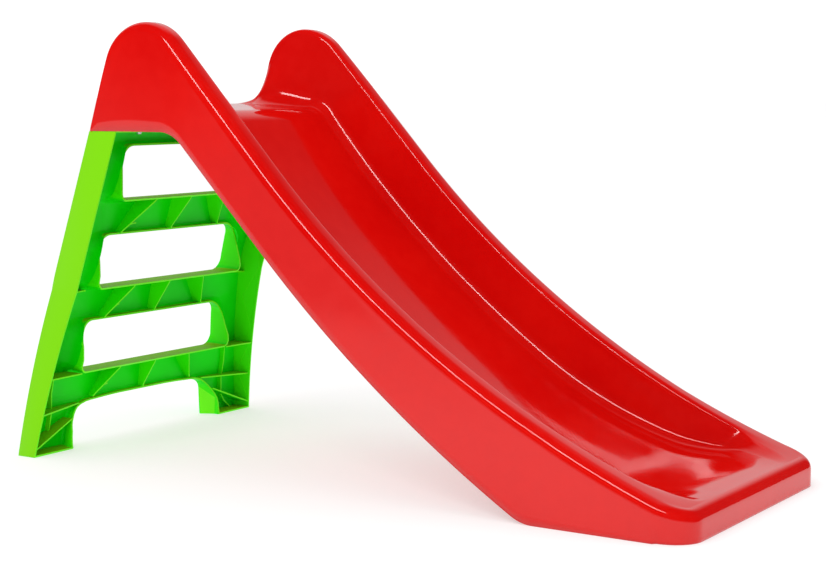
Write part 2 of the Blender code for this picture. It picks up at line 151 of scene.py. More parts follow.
def makeRedPlastic():
    made, bench, shader = newMaterial("glossyRedPlastic", redPlastic["roughness"], 0.0,
                                      redPlastic["specular"])
    place = bench.add("ShaderNodeTexCoord", out="Object")
    cloud = bench.noise(place, 3.2, 3.0, 0.5)
    mottle = bench.noise(place, 38.0, 4.0, 0.6)
    along = bench.add("ShaderNodeMapping", {"vector_type": "POINT"},
                      {"Vector": place, "Scale": (5.0, 210.0, 5.0)})
    streaks = bench.noise(along, 1.0, 5.0, 0.65)
    rub = bench.map(streaks, 0.54, 0.74, 0.0, 1.0)
    across = bench.add("ShaderNodeSeparateXYZ", None, {0: place}, "Y")
    offCentre = bench.add("ShaderNodeMath", {"operation": "ABSOLUTE"}, {0: across})
    middle = bench.map(offCentre, 0.17, 0.11, 0.0, 1.0)
    normal = bench.add("ShaderNodeNewGeometry", out="Normal")
    facing = bench.add("ShaderNodeSeparateXYZ", None, {0: normal}, "Z")
    slider = middle * bench.map(facing, 0.4, 0.6, 0.0, 1.0)
    tone = bench.map(cloud, 0.3, 0.7, 0.0, 1.0) * 0.75 + bench.map(mottle, 0.35, 0.65, 0.0, 1.0) * 0.25
    toned = bench.mix(tone, (*redPlastic["deepColour"], 1), (*redPlastic["colour"], 1))
    join(bench, toned, shader, "Base Color")
    gloss = bench.map(mottle, 0.3, 0.7, -0.015, 0.02) + rub * slider * redPlastic["scuffs"]
    join(bench, gloss + redPlastic["roughness"], shader, "Roughness")
    peel = bench.noise(place, 260.0, 2.0, 0.5)
    wave = bench.noise(place, 9.0, 1.0, 0.4)
    height = peel * 0.06 + wave * 0.4 + rub * slider * 0.02
    bump = bench.add("ShaderNodeBump", None,
                     {"Strength": redPlastic["peel"], "Distance": 0.002, "Height": height})
    join(bench, bump, shader, "Normal")
    return made


def makeGreenPlastic():
    made, bench, shader = newMaterial("satinGreenPlastic", greenPlastic["roughness"], 0.0,
                                      greenPlastic["specular"])
    place = bench.add("ShaderNodeTexCoord", out="Object")
    cloud = bench.noise(place, 6.0, 3.0, 0.5)
    grain = bench.noise(place, 420.0, 3.0, 0.6)
    tone = bench.map(cloud, 0.3, 0.7, 0.0, 1.0)
    inner = bench.mix(tone, (*greenPlastic["deepColour"], 1), (*greenPlastic["colour"], 1))
    facing = bench.add("ShaderNodeNewGeometry", out="Normal")
    sideways = bench.add("ShaderNodeSeparateXYZ", None, {0: facing}, "Y")
    upright = bench.add("ShaderNodeSeparateXYZ", None, {0: facing}, "Z")
    # painted side light: sideways faces get a brighter green, kept off the coves below
    sideLightMask = bench.map(sideways * sideways, 0.30, 0.90, 0.0, 1.0)
    # painted light on the up-facing tops; the same mask also makes them rougher
    upFacingTops = bench.map(upright, 0.75, 0.92, 0.0, 1.0)
    # painted highlight on the marked front edges
    edge = bench.add("ShaderNodeAttribute", {"attribute_name": "paintedRimHighlight"}, out="Fac")
    across = bench.add("ShaderNodeSeparateXYZ", None, {0: place}, "Y")
    # painted light on the outer faces of the flanges
    flangeLightMask = bench.map(sideways * across, 0.215, 0.235, 0.0, 1.0)
    cove = bench.add("ShaderNodeAttribute", {"attribute_name": "cove"}, out="Fac")
    toned = bench.mix(sideLightMask * (1.0 - cove), inner, (*greenPlastic["paintedSideLight"], 1))
    toned = bench.mix(flangeLightMask, toned, (*greenPlastic["paintedFlangeLight"], 1))
    toned = bench.mix(upFacingTops, toned, (*greenPlastic["paintedTopLight"], 1))
    join(bench, bench.mix(edge, toned, (*greenPlastic["paintedEdgeHighlight"], 1)), shader, "Base Color")
    join(bench, bench.map(grain, 0.3, 0.7, -0.05, 0.06) + bench.map(cloud, 0.3, 0.7, -0.03, 0.03)
         + upFacingTops * 0.25 + greenPlastic["roughness"], shader, "Roughness")
    bump = bench.add("ShaderNodeBump", None, {"Strength": greenPlastic["grain"], "Distance": 0.0006,
                                              "Height": grain * 0.35 + cloud * 2.0})
    join(bench, bump, shader, "Normal")
    return made


def makeZinc():
    made, bench, shader = newMaterial("zincPlatedSteel", zincPlate["roughness"], 1.0)
    place = bench.add("ShaderNodeTexCoord", out="Object")
    bloom = bench.noise(place, 240.0, 4.0, 0.6)
    patches = bench.map(bloom, 0.35, 0.65, 0.0, 1.0)
    colour = bench.mix(patches, (*zincPlate["dullColour"], 1), (*zincPlate["colour"], 1))
    join(bench, colour, shader, "Base Color")
    join(bench, bench.map(bloom, 0.3, 0.7, 0.22, 0.42), shader, "Roughness")
    bump = bench.add("ShaderNodeBump", None, {"Strength": 0.15, "Distance": 0.0002, "Height": bloom})
    join(bench, bump, shader, "Normal")
    return made


redFinish = makeRedPlastic()
greenFinish = makeGreenPlastic()
zincFinish = makeZinc()
print("materials made")


# mesh helpers

def newPiece(name, bm, finish, angle=35):
    bmesh.ops.recalc_face_normals(bm, faces=bm.faces)
    mesh = bpy.data.meshes.new(name)
    bm.to_mesh(mesh)
    bm.free()
    made = bpy.data.objects.new(name, mesh)
    bpy.context.scene.collection.objects.link(made)
    mesh.materials.append(finish)
    for face in mesh.polygons:
        face.use_smooth = True
    mesh.set_sharp_from_angle(angle=math.radians(angle))
    return made


def freeze(piece):
    # the evaluated shape as a plain mesh
    bpy.context.view_layer.update()
    graph = bpy.context.evaluated_depsgraph_get()
    mesh = bpy.data.meshes.new_from_object(piece.evaluated_get(graph))
    piece.modifiers.clear()
    piece.data = mesh
    return piece


def prism(name, outline, axis, low, high):
    bm = bmesh.new()
    ends = [[bm.verts.new((side, a, b) if axis == "X" else (a, side, b)) for a, b in outline]
            for side in (low, high)]
    bm.faces.new(ends[0])
    bm.faces.new(list(reversed(ends[1])))
    for i in range(len(outline)):
        j = (i + 1) % len(outline)
        bm.faces.new((ends[0][i], ends[1][i], ends[1][j], ends[0][j]))
    return newPiece(name, bm, greenFinish)


def boolean(target, other, operation):
    step = target.modifiers.new(other.name, "BOOLEAN")
    step.operation = operation
    step.solver = "EXACT"
    step.object = other
    return other


def smooth(share):
    share = min(1.0, max(0.0, share))
    return share * share * (3 - 2 * share)


# chute

chute = {
    "wall": 0.004,
    "half": 0.250,            # half width across the lower edges of the skirts
    "draft": 0.079,           # lean of the skirts, per metre of height
    "rimHeight": 0.547,       # lower edge where it stands on the ladder
    "rearX": -0.4665,
    "rearLean": math.atan(0.256),
    "humpX": -0.364,
    "humpZ": 0.722,
    "humpRearR": 0.074,
    "humpFrontR": 0.088,
    "railSlope": math.radians(47.17),
    "railLine": 0.2586,
    "railR": 1.714,
    "seatZ": 0.5915,
    "seatEdgeR": 0.009,
    "seatSlope": math.radians(4.5),
    "crestX": -0.330,
    "crestR": 0.052,
    "chuteSlope": math.radians(51.1),
    "chuteR": 1.959,
    "middleSlope": math.radians(33.4),
    "basinR": 0.796,
    "skirtFlatX": -0.3146,
    "skirtR": 0.060,
    "skirtSlope": math.radians(46.1),
    "skirtLine": 0.2253,
    "skirtBigR": 2.188,
    "skirtEndSlope": math.radians(31.1),
    "skirtToeR": 0.070,
    "rearEdgeR": 0.0055,      # outer rounding of the rails at the rear
    "edgeR": 0.019,           # and from the hump on
    "railInner": (0.191, 0.199),
    "floorWall": (0.167, 0.187),
    "floorR": (0.032, 0.024),
    "railInnerR": 0.009,
    "depth": 0.080,
    "toeX": 0.605,
    "toeRise": (0.380, 0.565),    # where the floor rises to the level of the toe
    "toeCornerR": 0.046,
    "rowsPerStep": 4,
}


class SideLine:
    # a line in the XZ plane made of straights and arcs; a slope is the angle below +X
    def __init__(self, x, z, slope):
        self.points = [(x, z)]
        self.lengths = [0.0]
        self.slopes = [slope]
        self.slope = slope

    def step(self, length):
        x, z = self.points[-1]
        self.points.append((x + length * math.cos(self.slope), z - length * math.sin(self.slope)))
        self.lengths.append(self.lengths[-1] + length)
        self.slopes.append(self.slope)

    def straight(self, length):
        self.step(length)
        return self.lengths[-1]

    def turn(self, radius, slope):
        steps = max(12, int(abs(slope - self.slope) * radius / 0.004))
        part = (slope - self.slope) / steps
        chord = 2 * radius * math.sin(abs(part) / 2)
        for _ in range(steps):
            self.slope += part / 2
            self.step(chord)
            self.slope += part / 2
            self.slopes[-1] = self.slope
        return self.lengths[-1]

    def at(self, length):
        length = min(max(length, 0.0), self.lengths[-1])
        low, high = 0, len(self.lengths) - 1
        while high - low > 1:
            half = (low + high) // 2
            if self.lengths[half] <= length:
                low = half
            else:
                high = half
        t = (length - self.lengths[low]) / (self.lengths[high] - self.lengths[low])
        a, b = self.points[low], self.points[high]
        slope = self.slopes[low] + t * (self.slopes[high] - self.slopes[low])
        return a[0] + t * (b[0] - a[0]), a[1] + t * (b[1] - a[1]), slope

    def whereX(self, x):
        for i in range(len(self.points) - 1, 0, -1):
            xa, xb = self.points[i - 1][0], self.points[i][0]
            if xa <= x <= xb:
                before, after = self.lengths[i - 1], self.lengths[i]
                return before + (x - xa) / (xb - xa) * (after - before)
        return self.lengths[-1]


def chuteLines():
    c = chute
    up = c["rearLean"] - math.pi / 2
    rail = SideLine(c["rearX"], c["rimHeight"], up)
    tangentZ = c["humpZ"] - c["humpRearR"] * (1 - math.sin(c["rearLean"]))
    r = {"rearTop": rail.straight((tangentZ - c["rimHeight"]) / math.cos(c["rearLean"]))}
    r["apex"] = rail.turn(c["humpRearR"], 0.0)
    r["humpEnd"] = rail.turn(c["humpFrontR"], c["railSlope"])
    r["lineEnd"] = rail.straight(c["railLine"])
    left = c["toeX"] - c["edgeR"] - rail.points[-1][0]
    r["end"] = rail.turn(c["railR"], math.asin(math.sin(c["railSlope"]) - left / c["railR"]))

    floor = SideLine(c["rearX"], c["rimHeight"], up)
    apron = c["seatZ"] - c["seatEdgeR"] - c["rimHeight"]
    f = {"apronTop": floor.straight(apron / math.cos(c["rearLean"]))}
    f["seatStart"] = floor.turn(c["seatEdgeR"], c["seatSlope"])
    f["crest"] = floor.straight((c["crestX"] - floor.points[-1][0]) / math.cos(c["seatSlope"]))
    f["chute"] = floor.turn(c["crestR"], c["chuteSlope"])
    f["middle"] = floor.turn(c["chuteR"], c["middleSlope"])
    f["end"] = floor.turn(c["basinR"], 0.0)

    skirt = SideLine(c["rearX"], c["rimHeight"], 0.0)
    s = {"rear": skirt.straight(c["rearEdgeR"])}
    s["flatEnd"] = skirt.straight(c["skirtFlatX"] - skirt.points[-1][0])
    s["bendEnd"] = skirt.turn(c["skirtR"], c["skirtSlope"])
    s["lineEnd"] = skirt.straight(c["skirtLine"])
    s["slopeEnd"] = skirt.turn(c["skirtBigR"], c["skirtEndSlope"])
    s["floor"] = skirt.turn(c["skirtToeR"], 0.0)
    s["end"] = skirt.straight(c["toeX"] + 0.02 - skirt.points[-1][0])
    return rail, r, floor, f, skirt, s


def chuteStations():
    c = chute
    rail, r, floor, f, skirt, s = chuteLines()
    anchors = (
        (0.0, 0.0, s["rear"], 0),
        (f["apronTop"], f["apronTop"], s["rear"] + 0.002, 2),
        (r["rearTop"], f["seatStart"] + 0.022, s["rear"] + 0.012, 5),
        (r["apex"], floor.whereX(c["humpX"]), skirt.whereX(-0.372), 7),
        (r["humpEnd"], f["crest"], s["flatEnd"], 5),
        (rail.whereX(-0.232), f["chute"], s["bendEnd"], 5),
        (r["lineEnd"], floor.whereX(-0.196), skirt.whereX(-0.190), 2),
        (rail.whereX(0.160), floor.whereX(0.114), skirt.whereX(0.090), 7),
        (rail.whereX(0.374), floor.whereX(0.350), s["slopeEnd"], 6),
        (rail.whereX(0.392), floor.whereX(0.372), s["floor"], 2),
        (rail.whereX(0.552), floor.whereX(0.545), skirt.whereX(0.552), 6),
    )
    rows = [anchors[0][:3]]
    for before, after in zip(anchors, anchors[1:]):
        count = after[3] * c["rowsPerStep"]
        for i in range(1, count + 1):
            rows.append(tuple(before[k] + i / count * (after[k] - before[k]) for k in range(3)))
    last = rows[-1]
    turns = 4 * c["rowsPerStep"]
    ends = (r["end"], floor.whereX(c["toeX"] - c["edgeR"]), skirt.whereX(c["toeX"] - c["edgeR"]))
    for i in range(1, turns + 1):
        share = math.sin(i / turns * math.pi / 2)
        rows.append(tuple(last[k] + share * (ends[k] - last[k]) for k in range(3)))
    floorEnd = floor.at(ends[1])
    drop = rail.points[-1][1] - floorEnd[1]
    places = []
    for a, b, low in rows:
        x, z, slope = floor.at(b)
        late = smooth((x - c["toeRise"][0]) / (c["toeRise"][1] - c["toeRise"][0]))
        hump = smooth((a - 0.6 * r["rearTop"]) / (r["humpEnd"] - 0.6 * r["rearTop"]))
        front = smooth((a - r["rearTop"]) / (r["humpEnd"] - r["rearTop"]))
        edge = c["rearEdgeR"] + (c["edgeR"] - c["rearEdgeR"]) * hump
        places.append((rail.at(a), (x, z + drop * late, slope), skirt.at(low), edge, front))
    return places, turns


def channelSection(depth, half, front):
    # (y, height share) from the middle of the floor to the start of the outer rounding
    c = chute
    ends = (c["railInner"], c["floorWall"], c["floorR"])
    railY, wallY, floorR = (a + front * (b - a) for a, b in ends)
    full = [(i / 8 * (wallY - floorR), 0.0) for i in range(9)]
    for i in range(1, 13):
        a = i / 12 * math.radians(82)
        full.append((wallY - floorR + floorR * math.sin(a), floorR * (1 - math.cos(a))))
    low, high = full[-1], (railY, c["depth"] - c["railInnerR"])
    full += [tuple(a + t * (b - a) for a, b in zip(low, high)) for t in (0.25, 0.5, 0.75)]
    for i in range(8):
        a = i / 7 * math.pi / 2
        full.append((railY + c["railInnerR"] * (1 - math.cos(a)),
                     c["depth"] - c["railInnerR"] * (1 - math.sin(a))))
    full += [(full[-1][0] + t * (half - full[-1][0]), c["depth"]) for t in (0.5, 1.0)]
    spread = smooth(depth / c["depth"] * 1.8)
    count = len(full) - 1
    made = []
    for i, (y, h) in enumerate(full):
        even = half * (0.36 * i / 8 if i < 9 else 0.36 + 0.64 * (i - 8) / (count - 8))
        made.append((even + spread * (y - even), h / c["depth"]))
    return made


def makeChute():
    c = chute
    places, turns = chuteStations()
    bm = bmesh.new()
    top, frames = [], []
    for i, (rail, floor, skirt, edge, front) in enumerate(places):
        corner = max(0, i - (len(places) - 1 - turns)) / turns * math.pi / 2
        outer = c["half"] - c["draft"] * math.dist(rail[:2], skirt[:2])
        half = outer - edge - (c["toeCornerR"] - edge) * (1 - math.cos(corner))
        depth = math.dist(rail[:2], floor[:2])
        row = [Vector((floor[0] + h * (rail[0] - floor[0]), -y, floor[1] + h * (rail[1] - floor[1])))
               for y, h in channelSection(depth, half, front)]
        top.append([bm.verts.new(p) for p in row])
        outward = Vector((math.sin(corner), -math.cos(corner), 0))
        down = Vector((-math.sin(rail[2]), 0, -math.cos(rail[2])))
        down = down.lerp(Vector((0, 0, -1)), smooth((rail[0] - 0.38) / 0.18)).normalized()
        frames.append((row[-1], outward, down, edge, skirt, corner))
    for a, b in zip(top, top[1:]):
        for j in range(len(a) - 1):
            bm.faces.new((a[j], b[j], b[j + 1], a[j + 1]))
    toe = list(reversed(top[-1][:-1]))
    for v in toe:
        frames.append((v.co.copy(), Vector((1, 0, 0)), Vector((0, 0, -1)),
                       c["edgeR"], None, math.pi / 2))
    rings = [[row[-1] for row in top] + toe]
    for step in range(1, 11):
        a = step / 10 * math.pi / 2
        rings.append([bm.verts.new(p + edge * (math.sin(a) * out + (1 - math.cos(a)) * down))
                      for p, out, down, edge, _, _ in frames])
    foot = []
    for k, (_, _, _, _, skirt, corner) in enumerate(frames):
        above = rings[-1][k].co
        foot.append(Vector((above.x, above.y, 0)) if skirt is None or corner
                    else Vector((skirt[0], -c["half"], max(0.0, skirt[1]))))
    for step in range(1, 9):
        rings.append([bm.verts.new(v.co.lerp(low, step / 8)) for v, low in zip(rings[10], foot)])
    for a, b in zip(rings, rings[1:]):
        for j in range(len(a) - 1):
            bm.faces.new((a[j], b[j], b[j + 1], a[j + 1]))
    for v in bm.verts:
        if abs(v.co.y) < 1e-6:
            v.co.y = 0.0
    bmesh.ops.remove_doubles(bm, verts=bm.verts, dist=0.00002)
    bmesh.ops.dissolve_degenerate(bm, edges=bm.edges, dist=0.00001)
    mirrored = bmesh.ops.duplicate(bm, geom=bm.verts[:] + bm.edges[:] + bm.faces[:])
    for v in (g for g in mirrored["geom"] if isinstance(g, bmesh.types.BMVert)):
        v.co.y = -v.co.y
    bmesh.ops.remove_doubles(bm, verts=bm.verts, dist=0.00002)
    piece = newPiece("chute", bm, redFinish, 50)
    seat = max(piece.data.polygons, key=lambda face: face.area * abs(face.normal.z))
    if seat.normal.z < 0:
        piece.data.flip_normals()
    shell = piece.modifiers.new("wall", "SOLIDIFY")
    shell.thickness = c["wall"]
    shell.offset = -1
    shell.use_even_offset = True
    return freeze(piece)


chuteShell = makeChute()
print("chute made,", len(chuteShell.data.polygons), "faces")


# ladder

ladder = {
    "flangeX": -0.5672,
    "leanLow": math.radians(8.5),
    "leanHigh": math.radians(19.5),
    "bendR": 1.70,
    "depth": (0.0375, 0.0575, 0.300),   # at the floor, higher up, and the height where it stops growing
    "half": (0.289, 0.2497, 0.280),     # at the floor, higher up, and the height where the flare ends
    "skin": 0.003,
    "lip": 0.0027,
    "top": 0.5467,
    # each opening: tread height, height under the next beam, half width at the tread and at the top
    "openings": ((0.431, 0.5205, 0.184, 0.182), (0.280, 0.368, 0.188, 0.182),
                 (0.135, 0.2195, 0.195, 0.188)),
    "openingTopR": (0.022, 0.043),      # at the rear plate and at the open front
    "openingLowR": (0.020, 0.010),
    # the arch between the feet, as (y, z): foot, the bend's start, control point and end, and the crown
    "archRear": ((0.186, -0.01), (0.1765, 0.048), (0.1745, 0.0715), (0.140, 0.0725), (0.060, 0.0760)),
    "archFront": ((0.197, -0.01), (0.1955, 0.020), (0.190, 0.074), (0.130, 0.0775), (0.060, 0.0790)),
    # front edge of the treads and rims, as (z, x): it steps back under each tread
    "innerFront": ((0.000, -0.5675), (0.030, -0.5693), (0.066, -0.5825), (0.080, -0.5834),
                   (0.135, -0.5430), (0.155, -0.5403), (0.2225, -0.5529),
                   (0.280, -0.5060), (0.301, -0.5049), (0.349, -0.5121), (0.370, -0.5113),
                   (0.431, -0.4530), (0.523, -0.4550), (0.547, -0.4250)),
    "edgeRound": 0.0007,
    "collarHeight": 0.020,
    "collarX": (-0.4540, -0.4270),
    "collarY": (0.2085, 0.2420),
}
ribs = {
    "thickness": 0.0024,
    "coveR": (0.009, 0.031),   # soft inside corners at the beams and at the posts
    "topY": 0.090,       # the splayed ribs, at the tread
    "lowY": 0.130,       # and at the beam below it
}


def flangeX(z):
    low, high, radius = ladder["leanLow"], ladder["leanHigh"], ladder["bendR"]
    reach = min(z, radius * (math.sin(high) - math.sin(low)))
    lean = math.asin(math.sin(low) + reach / radius)
    return ladder["flangeX"] + radius * (math.cos(low) - math.cos(lean)) + (z - reach) * math.tan(high)


def rearX(z):
    low, high, stop = ladder["depth"]
    return flangeX(z) - low - (high - low) * min(1.0, z / stop)


def innerX(z):
    # front edge of the treads, ribs and rims
    rows = ladder["innerFront"]
    for (za, xa), (zb, xb) in zip(rows, rows[1:]):
        if z <= zb:
            return xa + (z - za) / (zb - za) * (xb - xa)
    return rows[-1][1]


def postHalf(z):
    low, high, stop = ladder["half"]
    return high + (low - high) * max(0.0, 1 - z / stop)


def heights(low, high):
    count = max(2, int((high - low) / 0.018))
    return [low + (high - low) * i / count for i in range(count + 1)]


def sideOutline(inset, reach, low, high):
    levels = heights(low, high)
    front = [(flangeX(z) + reach, z) for z in levels]
    return front + [(rearX(z) + inset / math.cos(ladder["leanHigh"]), z) for z in reversed(levels)]


def roundCorner(points, centre, radius, start, end, steps):
    for i in range(steps + 1):
        a = math.radians(start + (end - start) * i / steps)
        points.append((centre[0] + radius * math.cos(a), centre[1] + radius * math.sin(a)))


def bothSides(right):
    return right + [(-y, z) for y, z in reversed(right)]


def openingOutline(opening, end, grow=0.0):
    # end 0 is the rear plate, end 1 the open front
    low, high, halfLow, halfHigh = opening
    low, high, halfLow, halfHigh = low - grow, high + grow, halfLow + grow, halfHigh + grow
    topR, lowR = ladder["openingTopR"][end] + grow, ladder["openingLowR"][end] + grow
    right = []
    roundCorner(right, (halfLow - lowR, low + lowR), lowR, -90, 0, 8)
    roundCorner(right, (halfHigh - topR, high - topR), topR, 0, 90, 12)
    return bothSides(right)


def archOutline(end, grow=0.0):
    foot, start, control, stop, crown = ladder["archFront" if end else "archRear"]
    points = [foot]
    for i in range(9):
        t = i / 8
        points.append(tuple((1 - t) ** 2 * a + 2 * t * (1 - t) * b + t * t * c
                            for a, b, c in zip(start, control, stop)))
    points.append(crown)
    right = []
    for i, (y, z) in enumerate(points):
        before, after = points[max(0, i - 1)], points[min(len(points) - 1, i + 1)]
        dy, dz = after[0] - before[0], after[1] - before[1]
        size = math.hypot(dy, dz)
        right.append((y + grow * dz / size, z - grow * dy / size))
    right[0] = (right[0][0], foot[1])
    return bothSides(right)


def tunnel(name, rear, front):
    # a cutter whose outline changes from the rear plate to the open front, following the lean
    bm = bmesh.new()
    sections = []
    for outline, place in ((rear, lambda z: rearX(z) - 0.03), (rear, lambda z: rearX(z) + 0.0017),
                           (front, lambda z: flangeX(z) - 0.012), (front, lambda z: flangeX(z) + 0.09)):
        sections.append([bm.verts.new((place(max(z, 0.0)), y, z)) for y, z in outline])
    count = len(rear)
    for a, b in zip(sections, sections[1:]):
        for i in range(count):
            j = (i + 1) % count
            bm.faces.new((a[i], b[i], b[j], a[j]))
    bm.faces.new(sections[0])
    bm.faces.new(list(reversed(sections[-1])))
    bmesh.ops.triangulate(bm, faces=bm.faces)
    return newPiece(name, bm, greenFinish)


def frontOutline(inset, low, high):
    stop = ladder["half"][2]
    return bothSides([(postHalf(low) - inset, low), (postHalf(stop) - inset, stop),
                      (postHalf(stop) - inset, high)])


def makeLadder():
    top, skin, lip = ladder["top"], ladder["skin"], ladder["lip"]
    spare = []
    body = prism("ladderShell", frontOutline(0, 0, top), "X", -0.62, -0.40)
    side = prism("side", sideOutline(0, 0, -0.001, 0.56), "Y", -0.3, 0.3)
    spare.append(boolean(body, side, "INTERSECT"))
    for i, opening in enumerate(ladder["openings"]):
        cutter = tunnel(f"opening{i}", openingOutline(opening, 0), openingOutline(opening, 1))
        spare.append(boolean(body, cutter, "DIFFERENCE"))
    spare.append(boolean(body, tunnel("arch", archOutline(0), archOutline(1)), "DIFFERENCE"))
    for side in (-1, 1):
        low, high = sorted((side * ladder["collarY"][0], side * ladder["collarY"][1]))
        rise = top + ladder["collarHeight"]
        box = [(low, top - skin / 2), (high, top - skin / 2), (high, rise), (low, rise)]
        spare.append(boolean(body, prism(f"collar{side}", box, "X", *ladder["collarX"]), "UNION"))

    cavity = prism("cavity", frontOutline(skin, skin, top - skin), "X", -0.615, -0.395)
    inside = prism("inside", sideOutline(skin, 0.02, 0.0, 0.56), "Y", -0.31, 0.31)
    spare.append(boolean(cavity, inside, "INTERSECT"))
    for i, opening in enumerate(ladder["openings"]):
        keep = tunnel(f"rim{i}", openingOutline(opening, 0, skin), openingOutline(opening, 1, skin))
        spare.append(boolean(cavity, keep, "DIFFERENCE"))
    keep = tunnel("archRim", archOutline(0, skin), archOutline(1, skin))
    spare.append(boolean(cavity, keep, "DIFFERENCE"))
    spare.append(boolean(body, cavity, "DIFFERENCE"))

    step = prism("step", frontOutline(lip, lip, 0.575), "X", -0.625, -0.385)
    back = [(x, z) for z, x in ladder["innerFront"]]
    back[0] = (back[0][0], skin)
    front = prism("stepSide", back + [(-0.415, 0.56), (-0.35, 0.56), (-0.35, skin)], "Y", -0.32, 0.32)
    spare.append(boolean(step, front, "INTERSECT"))
    spare.append(boolean(body, step, "DIFFERENCE"))
    for side in (-1, 1):
        low, high = sorted((side * (ladder["collarY"][0] + skin), side * (ladder["collarY"][1] - skin)))
        rise = top + ladder["collarHeight"] - skin
        box = [(low, top - 0.01), (high, top - 0.01), (high, rise), (low, rise)]
        low, high = ladder["collarX"][0] + skin, ladder["collarX"][1] - skin
        hole = prism(f"collarHole{side}", box, "X", low, high)
        spare.append(boolean(body, hole, "DIFFERENCE"))
    for i, y in enumerate(screws["y"]):
        for name, radius, low, high in (("hole", 0.0030, 0.535, 0.555), ("access", 0.0065, 0.515, 0.533)):
            bm = bmesh.new()
            bmesh.ops.create_cone(bm, cap_ends=True, segments=32, radius1=radius, radius2=radius,
                                  depth=high - low)
            bmesh.ops.translate(bm, verts=bm.verts, vec=(screws["x"], y, (low + high) / 2))
            spare.append(boolean(body, newPiece(f"{name}{i}", bm, greenFinish), "DIFFERENCE"))
    freeze(body)
    for thing in spare:
        bpy.data.objects.remove(thing)
    bm = bmesh.new()
    bm.from_mesh(body.data)
    bmesh.ops.remove_doubles(bm, verts=bm.verts, dist=0.00002)
    bmesh.ops.dissolve_limit(bm, angle_limit=math.radians(0.2), verts=bm.verts, edges=bm.edges)
    bm.to_mesh(body.data)
    bm.free()
    for face in body.data.polygons:
        face.use_smooth = True
    soften = body.modifiers.new("soften", "BEVEL")
    soften.width = ladder["edgeRound"]
    soften.segments = 2
    soften.limit_method = "ANGLE"
    soften.angle_limit = math.radians(40)
    freeze(body)
    body.data.set_sharp_from_angle(angle=math.radians(38))
    markHighlightEdges(body)
    return body


def markHighlightEdges(piece):
    # the thin front edges of rims, flanges and ribs, marked for a painted highlight: a brighter colour
    # stands in for the light they catch
    mark = piece.data.attributes.new("paintedRimHighlight", "FLOAT", "FACE")
    values = []
    for face in piece.data.polygons:
        x, _, z = face.center
        values.append(float(face.normal.x > 0.35 and x - rearX(z) > 0.008))
    mark.data.foreach_set("value", values)


def ribPaths():
    # the rear-plate line of every rib and web as (y, z, x of its front edge)
    openings = ladder["openings"]
    unders = [openings[1][1], openings[2][1], ladder["archFront"][-1][1]]
    lines = []
    for (tread, _, _, _), under in zip(openings, unders):
        high, low = tread - 0.0015, under + 0.0015
        for top, foot in ((0.0, 0.0), (ribs["topY"], ribs["lowY"]), (-ribs["topY"], -ribs["lowY"])):
            lines.append([(top, high, innerX(tread) - 0.0045), (foot, low, innerX(low) + 0.0002)])
    for side in (-1, 1):
        sill, post = 0.1310, postHalf(0.131) - 0.002
        lines.append([(side * 0.194, sill + 0.001, flangeX(sill) - 0.002),
                      (side * post, sill, flangeX(sill) - 0.001)])
        post = postHalf(0.070) - 0.002
        lines.append([(side * 0.1640, 0.0735, -0.5825), (side * post, 0.0695, flangeX(0.0695) - 0.003)])
        post = postHalf(0.012) - 0.002
        lines.append([(side * 0.1890, 0.0505, -0.5750),
                      (side * post, 0.0125, flangeX(0.0125) - 0.0008)])
        curve = ((0.2285, 0.1300), (0.2308, 0.0988), (0.2276, 0.0661), (0.2313, 0.0323), (0.2417, 0.0184),
                 (0.2620, 0.0025))
        lines.append([(side * y, z, rearX(z) + 0.0120) for y, z in curve])
        lines.append([(side * 0.186, 0.2745, rearX(0.2745) + 0.018),
                      (side * 0.247, 0.2705, rearX(0.2705) + 0.018)])
    for level, y in ((0.384, -0.1147), (0.2395, -0.1119), (0.097, -0.1172)):
        lines.append([(y, level, rearX(level) + 0.018), (y + 0.028, level + 0.001, rearX(level) + 0.008)])
    return lines


def ribTree():
    # extrudes each line from the rear plate to the open front, then gives it its thickness
    tree = bpy.data.node_groups.new("mouldedRibs", "GeometryNodeTree")
    tree.interface.new_socket("Geometry", in_out="INPUT", socket_type="NodeSocketGeometry")
    tree.interface.new_socket("Thickness", in_out="INPUT", socket_type="NodeSocketFloat")
    tree.interface.new_socket("Finish", in_out="INPUT", socket_type="NodeSocketMaterial")
    tree.interface.new_socket("Geometry", in_out="OUTPUT", socket_type="NodeSocketGeometry")
    bench = Bench(tree)
    given = tree.nodes.new("NodeGroupInput")
    lines, thickness, finish = (Wire(bench, given.outputs[i]) for i in range(3))
    reach = bench.add("GeometryNodeInputNamedAttribute", {"data_type": "FLOAT"}, {"Name": "reach"})
    offset = bench.add("ShaderNodeCombineXYZ", None, {"X": reach})
    strip = bench.add("GeometryNodeExtrudeMesh", {"mode": "EDGES"}, {"Mesh": lines, "Offset": offset})
    half = thickness * 0.5
    normal = bench.add("GeometryNodeInputNormal")
    back = bench.add("ShaderNodeVectorMath", {"operation": "SCALE"}, {0: normal, "Scale": half * -1.0})
    centred = bench.add("GeometryNodeSetPosition", None, {"Geometry": strip, "Offset": back})
    block = tree.nodes.new("GeometryNodeExtrudeMesh")
    block.mode = "FACES"
    block.inputs["Individual"].default_value = False
    tree.links.new(centred.socket, block.inputs["Mesh"])
    tree.links.new(thickness.socket, block.inputs["Offset Scale"])
    flipped = bench.add("GeometryNodeFlipFaces", None, {"Mesh": centred})
    both = tree.nodes.new("GeometryNodeJoinGeometry")
    tree.links.new(Wire(bench, block.outputs[0]).socket, both.inputs[0])
    tree.links.new(flipped.socket, both.inputs[0])
    closed = bench.add("GeometryNodeMergeByDistance", None,
                       {"Geometry": Wire(bench, both.outputs[0]), "Distance": 0.00001})
    real = bench.add("GeometryNodeRealizeInstances", None, {"Geometry": closed})
    done = bench.add("GeometryNodeSetMaterial", None, {"Geometry": real, "Material": finish})
    output = tree.nodes.new("NodeGroupOutput")
    tree.links.new(done.socket, output.inputs[0])
    return tree


